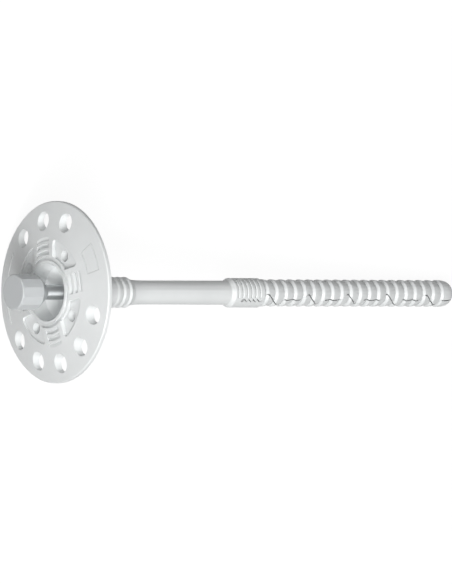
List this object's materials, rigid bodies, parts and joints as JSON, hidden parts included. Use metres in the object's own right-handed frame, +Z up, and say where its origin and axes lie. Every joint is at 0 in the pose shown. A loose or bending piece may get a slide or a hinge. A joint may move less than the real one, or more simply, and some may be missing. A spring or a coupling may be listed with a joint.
{
  "type": "insulation anchor",
  "caption": "Hammer-in anchor for insulation boards: a round plate with a slit sleeve, and a steel drive nail with a moulded head.",
  "frame": {"origin": "middle of the anchor's box on the floor, as it lies on the plate's back edge and the last expansion ring", "axes": "+X to the tip, +Z up, +Y across; the anchor's own axis lies in the XZ plane and drops 9.0 degrees towards the tip"},
  "size_m": [0.183, 0.06, 0.0596],
  "materials": {
    "sleeve_plastic": "satin light grey moulding",
    "nail_steel": "bright zinc plated wire",
    "head_plastic": "satin light grey moulding"
  },
  "bodies": {
    "sleeve": {"anchor_sleeve": "sleeve_plastic"},
    "nail": {"nail_shank": "nail_steel", "nail_head": "head_plastic"}
  },
  "joints": [
    {"name": "nail_drive", "type": "slide", "parent": "sleeve", "child": "nail", "axis": [0.9878, 0, -0.1559], "range_m": [0, 0.015]}
  ]
}
